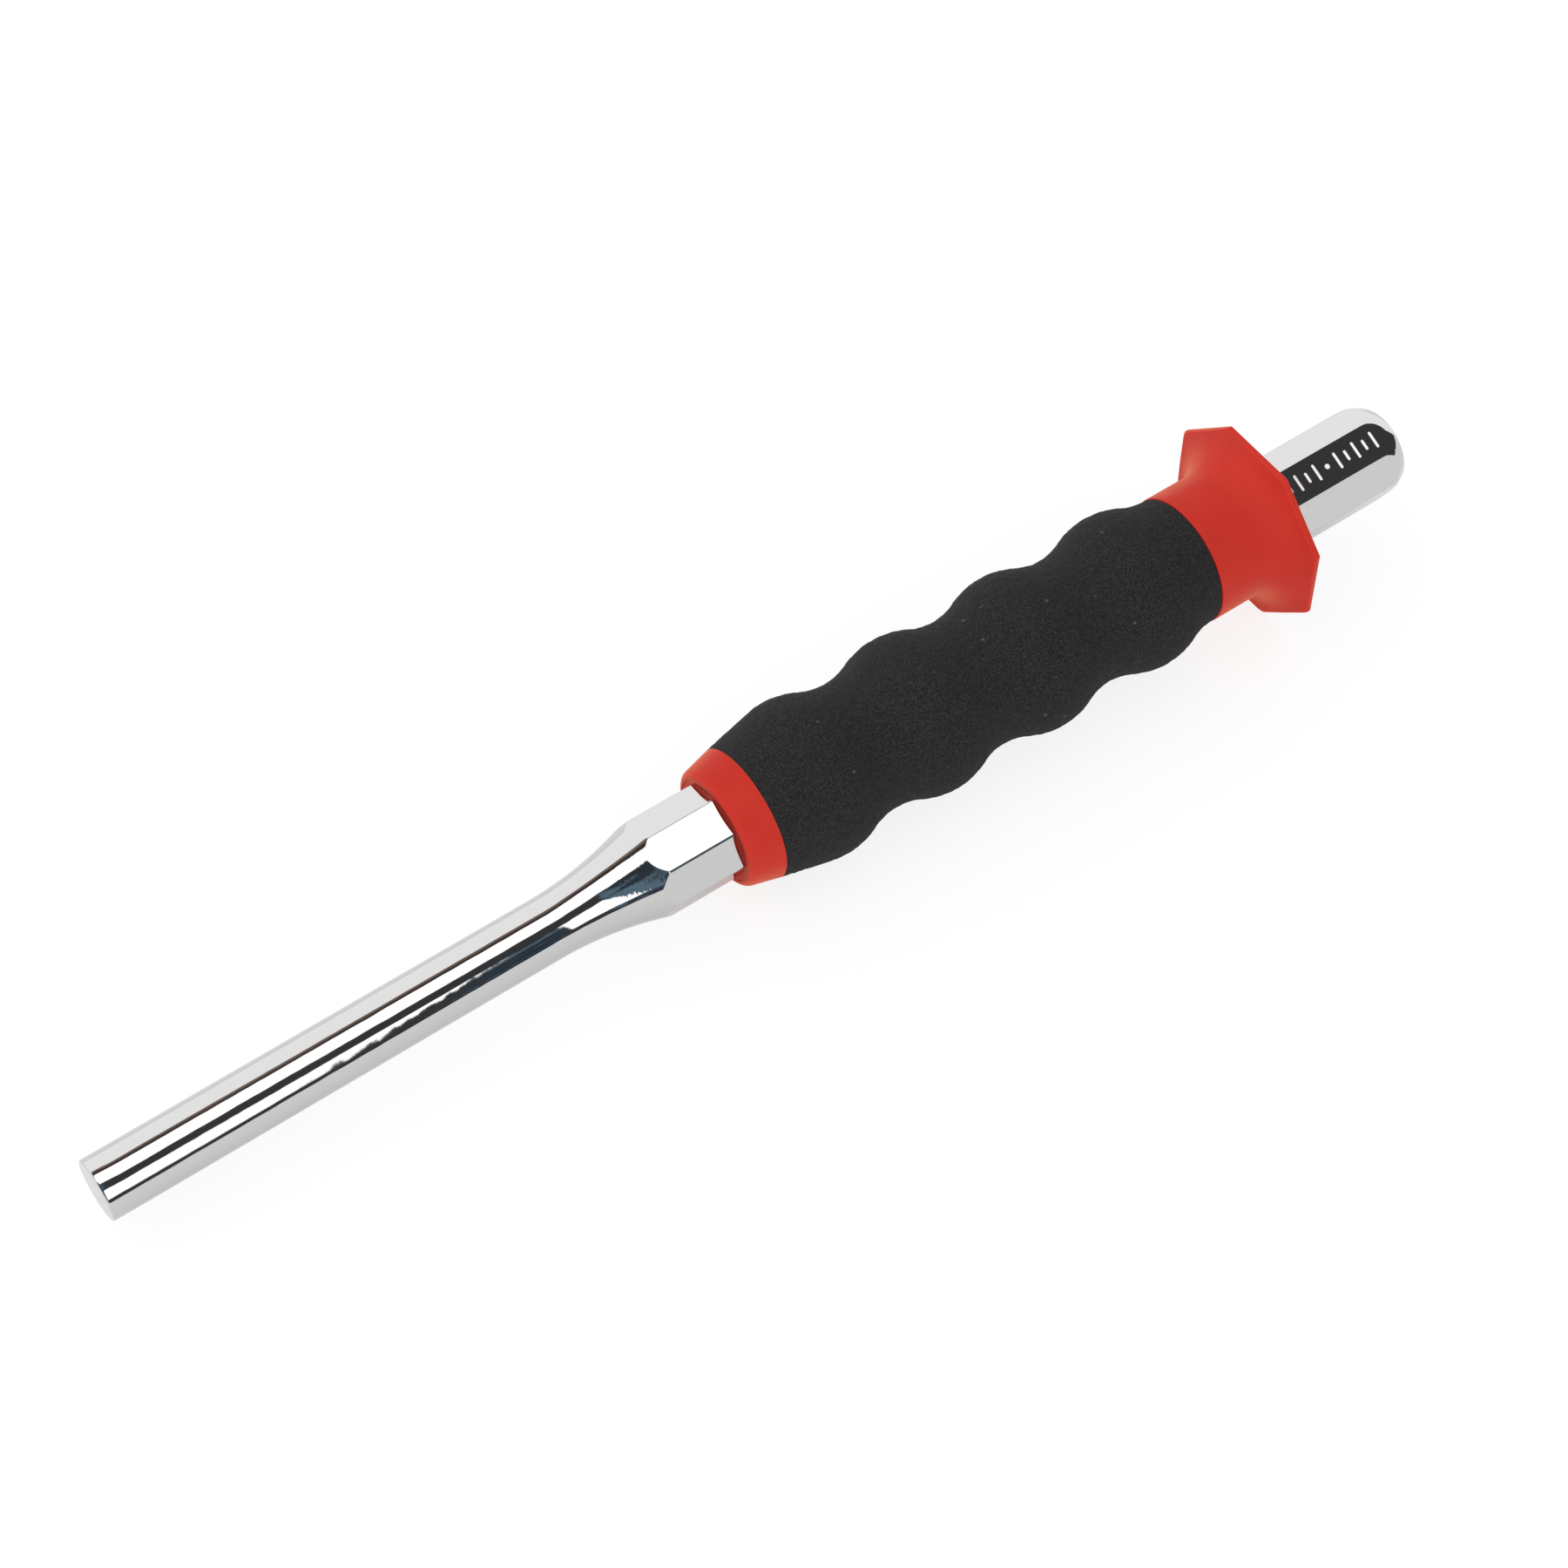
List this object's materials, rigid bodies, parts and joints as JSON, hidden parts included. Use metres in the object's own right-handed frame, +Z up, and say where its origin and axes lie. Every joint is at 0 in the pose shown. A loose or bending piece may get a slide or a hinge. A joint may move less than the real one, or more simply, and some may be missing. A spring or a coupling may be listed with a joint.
{
  "type": "parallel pin punch",
  "caption": "Sheathed parallel pin punch: round flat-ended pin, octagonal steel shank, foam finger grip and flared hand guard.",
  "frame": {"origin": "centre of the flat working face at the tip of the pin", "axes": "+X along the tool's axis from the working tip to the struck head, +Z up with one flat of the octagonal guard facing down, +Y to the left when looking from the tip along +X"},
  "size_m": [0.24, 0.033, 0.033],
  "materials": {
    "chrome_steel": "satin chrome plate on chromium-molybdenum steel",
    "guard_red": "satin moulded hard plastic",
    "collar_red": "satin moulded hard plastic",
    "foam_black": "fine closed-cell foam, matt"
  },
  "bodies": {
    "root": {"punch": "chrome_steel", "hand_guard": "guard_red", "front_collar": "collar_red", "foam_grip": "foam_black"}
  },
  "joints": []
}
